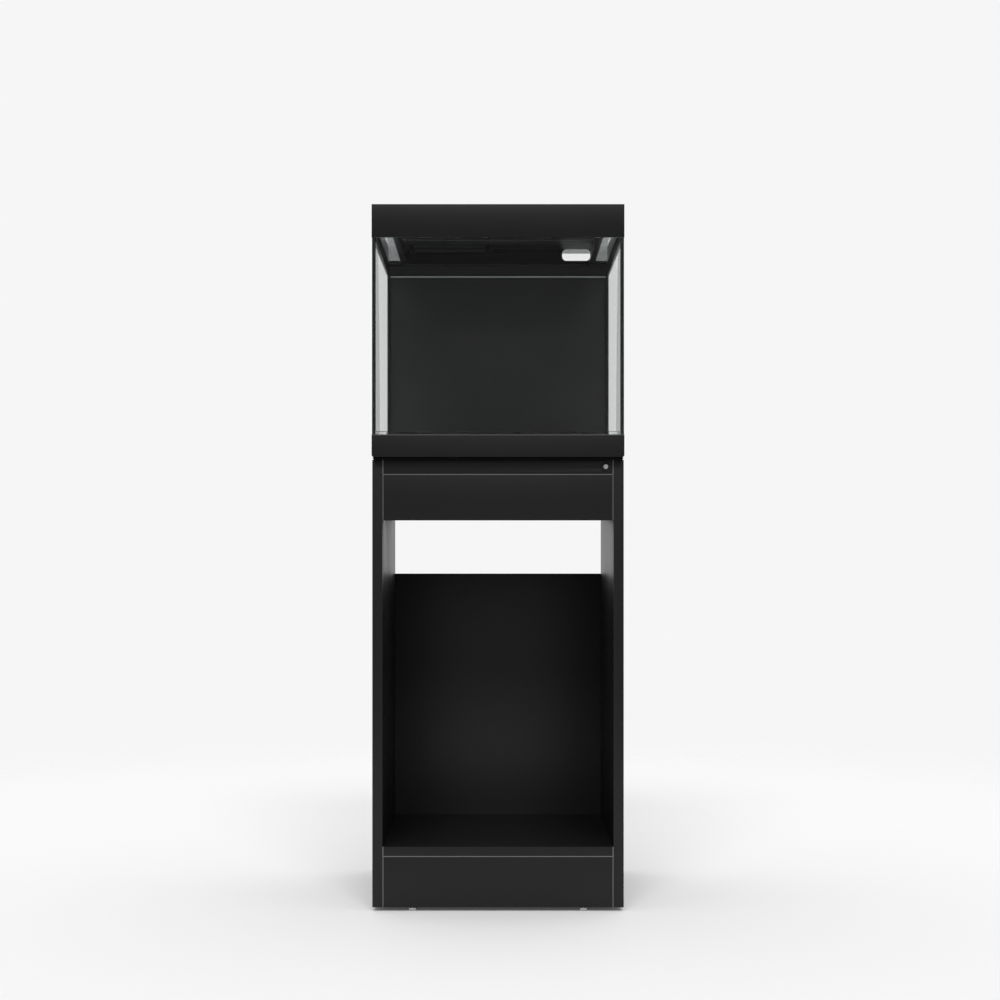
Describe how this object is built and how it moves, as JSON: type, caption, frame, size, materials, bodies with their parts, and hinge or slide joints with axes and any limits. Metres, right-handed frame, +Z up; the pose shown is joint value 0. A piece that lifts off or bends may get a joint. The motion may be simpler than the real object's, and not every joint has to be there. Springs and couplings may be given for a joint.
{
  "type": "aquarium on stand",
  "caption": "Cube glass tank with a lift-off hood and feeding flap, standing on an open-fronted black cabinet with a push latch and low glides.",
  "frame": {"origin": "on the floor, at the centre of the object's footprint", "axes": "+X to the right seen from the front, +Y from the open front to the back, +Z up"},
  "size_m": [0.45, 0.45, 1.262],
  "materials": {
    "black_board": "black melamine facing, fine matte grain, eased edges",
    "black_plastic": "black moulded plastic with a fine satin texture",
    "foam": "black closed-cell foam",
    "black_silicone": "black sealant, slightly glossy",
    "black_film": "black background film",
    "clear_glass": "clear float glass with polished edges",
    "clear_plastic": "clear sheet plastic",
    "grey_plastic": "light grey plastic",
    "steel": "bright plated steel",
    "zinc": "dull die-cast zinc",
    "light_diffuser": "smoked ribbed lens",
    "circuit_board": "white coated circuit board"
  },
  "bodies": {
    "stand_and_tank": {"left_side_board": "black_board", "right_side_board": "black_board", "top_board": "black_board", "bottom_shelf": "black_board", "front_apron": "black_board", "rear_rail": "black_board", "kick_board": "black_board", "back_board": "black_board", "front_left_glide": "steel", "front_right_glide": "steel", "rear_left_glide": "steel", "rear_right_glide": "steel", "top_front_left_cam": "zinc", "top_front_right_cam": "zinc", "top_rear_left_cam": "zinc", "top_rear_right_cam": "zinc", "shelf_front_left_cam": "zinc", "shelf_front_right_cam": "zinc", "shelf_rear_left_cam": "zinc", "shelf_rear_right_cam": "zinc", "top_front_left_bolt": "steel", "top_front_right_bolt": "steel", "top_rear_left_bolt": "steel", "top_rear_right_bolt": "steel", "shelf_front_left_bolt": "steel", "shelf_front_right_bolt": "steel", "shelf_rear_left_bolt": "steel", "shelf_rear_right_bolt": "steel", "latch_sleeve": "black_plastic", "latch_spring": "steel", "levelling_mat": "foam", "tank_base_tray": "black_plastic", "front_glass": "clear_glass", "rear_glass": "clear_glass", "left_glass": "clear_glass", "right_glass": "clear_glass", "bottom_glass": "clear_glass", "rear_background": "black_film", "front_left_seam": "black_silicone", "front_right_seam": "black_silicone", "rear_left_seam": "black_silicone", "rear_right_seam": "black_silicone", "floor_seam": "black_silicone"},
    "hood": {"hood_frame": "black_plastic", "left_hood_rail": "black_plastic", "right_hood_rail": "black_plastic", "left_clear_strip": "clear_plastic", "right_clear_strip": "clear_plastic", "fixed_top": "black_plastic", "left_hinge_pin": "steel", "right_hinge_pin": "steel", "light_housing": "black_plastic", "front_light_lens": "light_diffuser", "rear_light_lens": "light_diffuser", "led_board": "circuit_board", "light_socket": "black_plastic"},
    "flap": {"feeding_flap": "black_plastic"},
    "cover": {"cover_plate": "clear_plastic", "cover_grip": "black_plastic"},
    "latch": {"latch_plunger": "grey_plastic"}
  },
  "joints": [
    {"name": "hood_lift", "type": "slide", "parent": "stand_and_tank", "child": "hood", "axis": [0, 0, 1], "range_m": [0, 0.12]},
    {"name": "flap_hinge", "type": "hinge", "parent": "hood", "child": "flap", "pos_m": [0, 0.0565, 1.258], "axis": [-1, 0, 0], "range_deg": [0, 100]},
    {"name": "cover_slide", "type": "slide", "parent": "hood", "child": "cover", "axis": [0, 1, 0], "range_m": [0, 0.1]},
    {"name": "latch_press", "type": "slide", "parent": "stand_and_tank", "child": "latch", "axis": [0, 1, 0], "range_m": [0, 0.005], "stiffness_N_per_m": 250, "springref_m": -0.002, "deforming": ["latch_spring"]}
  ]
}
